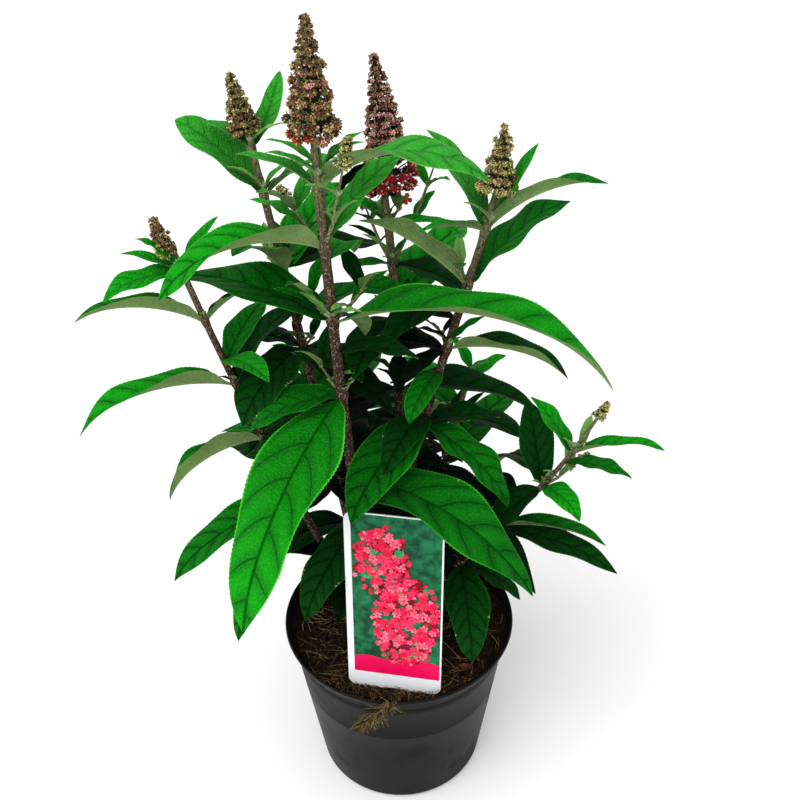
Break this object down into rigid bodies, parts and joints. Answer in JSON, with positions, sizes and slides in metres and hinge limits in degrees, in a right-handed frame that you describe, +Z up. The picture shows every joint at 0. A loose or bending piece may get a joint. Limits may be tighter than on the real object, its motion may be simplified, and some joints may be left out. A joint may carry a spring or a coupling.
{
  "type": "potted butterfly bush",
  "caption": "Young butterfly bush in a round black nursery pot: leafy upright canes from one woody stool, tipped with flower spikes, with a picture label staked in the soil.",
  "frame": {"origin": "centre of the pot's flat underside", "axes": "+Z up through the pot, -Y towards the side with the label, +X to the right seen from there"},
  "size_m": [0.3994, 0.3096, 0.6335],
  "materials": {
    "pot_plastic": "matte moulded black plastic with a faint grey bloom",
    "compost": "damp dark peat with straw-coloured fibres",
    "old_wood": "rough weathered wood",
    "cane_bark": "brown bark with fine fissures and pale flecks",
    "foliage": "satin green leaves, pale felted undersides, dull felted buds",
    "label_card": "smooth printed plastic card"
  },
  "bodies": {
    "root": {"pot": "pot_plastic", "soil": "compost", "stool": "old_wood", "label": "label_card", "middle_bough": "cane_bark", "leftmid_bough": "cane_bark", "back_bough": "cane_bark", "right_bough": "cane_bark", "farleft_bough": "cane_bark", "lowright_bough": "cane_bark", "backleft_bough": "cane_bark", "backright_bough": "cane_bark", "middle_lower_foliage": "foliage", "middle_upper_foliage": "foliage", "leftmid_lower_foliage": "foliage", "leftmid_upper_foliage": "foliage", "back_lower_foliage": "foliage", "back_upper_foliage": "foliage", "right_lower_foliage": "foliage", "right_upper_foliage": "foliage", "farleft_lower_foliage": "foliage", "farleft_upper_foliage": "foliage", "lowright_foliage": "foliage", "backleft_foliage": "foliage", "backright_foliage": "foliage"}
  },
  "joints": []
}
